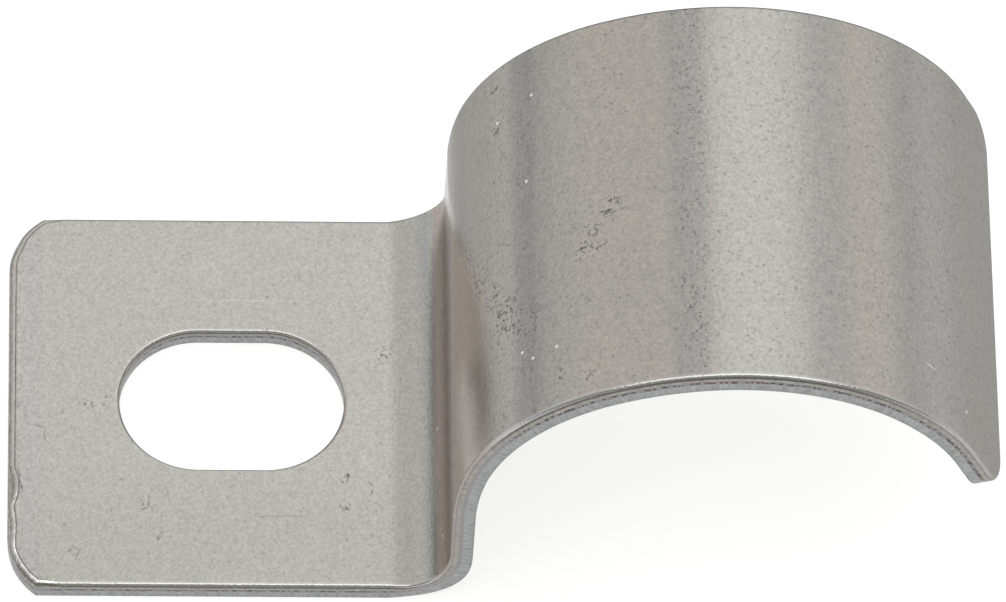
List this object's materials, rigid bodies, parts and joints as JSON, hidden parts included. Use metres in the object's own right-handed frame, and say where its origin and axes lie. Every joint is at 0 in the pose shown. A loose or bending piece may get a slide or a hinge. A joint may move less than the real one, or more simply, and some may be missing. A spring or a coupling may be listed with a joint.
{
  "type": "cable clip",
  "caption": "Half clip of bent stainless steel strip: a flat tab with a screw slot, a short upright leg and a wide arch that holds a cable or thin pipe against a wall.",
  "frame": {"origin": "centre of the screw slot, on the face of the tab that lies on the wall", "axes": "+X along the cable, +Y from the free end of the tab towards the arch, +Z away from the wall"},
  "size_m": [0.015, 0.0341, 0.0152],
  "materials": {
    "stainless_sheet": "tumbled matte, as stamped"
  },
  "bodies": {
    "root": {"clip": "stainless_sheet"}
  },
  "joints": []
}
